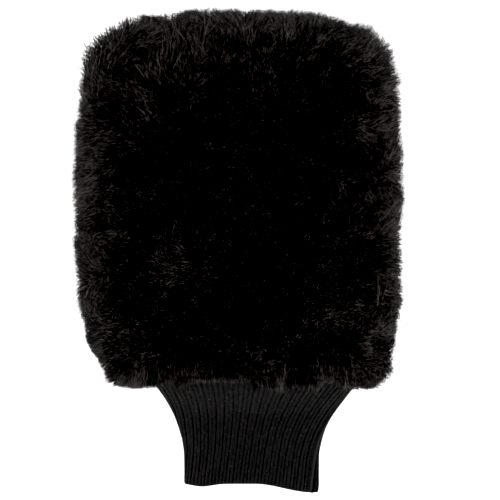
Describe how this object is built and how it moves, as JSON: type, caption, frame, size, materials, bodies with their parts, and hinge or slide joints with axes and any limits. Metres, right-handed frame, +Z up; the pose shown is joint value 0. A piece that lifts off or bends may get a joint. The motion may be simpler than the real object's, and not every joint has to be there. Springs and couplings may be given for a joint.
{
  "type": "wash mitt",
  "caption": "Deep plush wash mitt, a soft lined bag for the hand with a flared ribbed knit cuff, lying flat palm side up.",
  "frame": {"origin": "under the middle of the whole mitt's box, on the surface that it lies on", "axes": "+Y from the cuff to the finger end, +Z up out of the palm side, +X to the right seen from above"},
  "size_m": [0.211, 0.31, 0.0421],
  "materials": {
    "pile": "deep plush pile, matte",
    "ground_cloth": "knitted backing, matte",
    "lining": "fine tricot, matte",
    "rib_knit": "2 by 2 rib knit, matte",
    "thread": "spun polyester sewing thread"
  },
  "bodies": {
    "bag": {"palm_pile": "pile", "palm_ground_cloth": "ground_cloth", "palm_lining": "lining", "back_pile": "pile", "back_ground_cloth": "ground_cloth", "back_lining": "lining", "shell_seam_thread": "thread", "lining_seam_thread": "thread", "cuff_join_thread": "thread"},
    "cuff": {"rib_cuff": "rib_knit", "cuff_side_seam_thread": "thread"}
  },
  "joints": [
    {"name": "cuff_fold", "type": "hinge", "parent": "bag", "child": "cuff", "pos_m": [0.0084, -0.08, 0.0205], "axis": [-1, 0, 0], "range_deg": [0, 45]}
  ]
}
